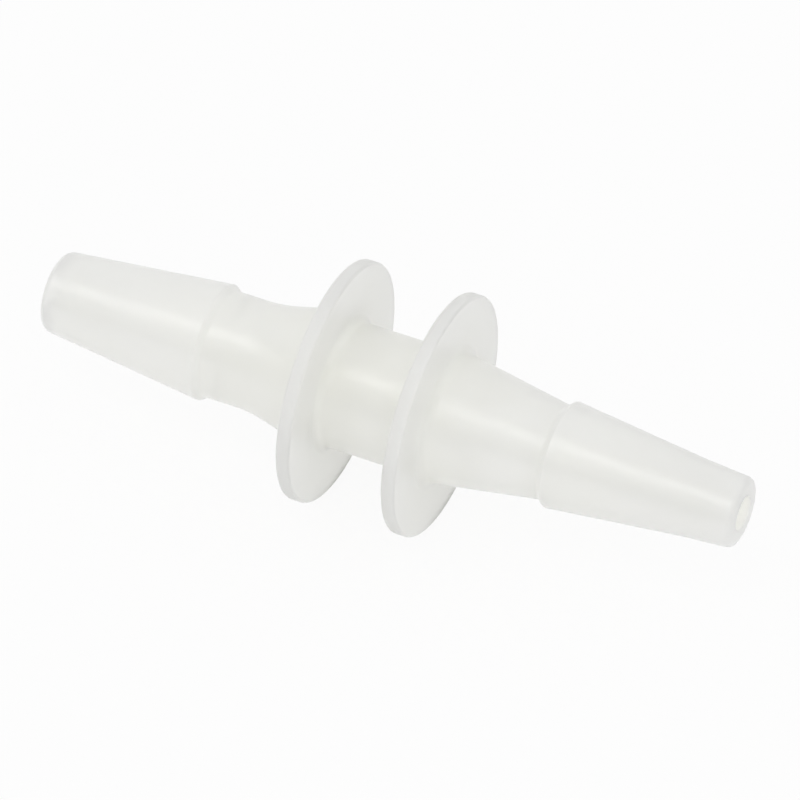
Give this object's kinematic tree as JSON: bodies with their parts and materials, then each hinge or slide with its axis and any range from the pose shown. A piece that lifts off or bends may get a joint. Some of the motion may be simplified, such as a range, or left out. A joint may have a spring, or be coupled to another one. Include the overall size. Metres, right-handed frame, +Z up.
{
  "type": "straight reducing tube connector",
  "caption": "Straight tube connector moulded in one piece: a flanged hub between a larger and a slightly smaller hose barb, with a bore through its length.",
  "frame": {"origin": "on the bore's axis, in the middle of the hub between the two flanges", "axes": "+X along the bore towards the smaller barb, +Z up from the surface that the two flange rims lie on"},
  "size_m": [0.0494, 0.0164, 0.0164],
  "materials": {
    "natural_polypropylene": "satin translucent natural polypropylene"
  },
  "bodies": {
    "root": {"connector_body": "natural_polypropylene"}
  },
  "joints": []
}
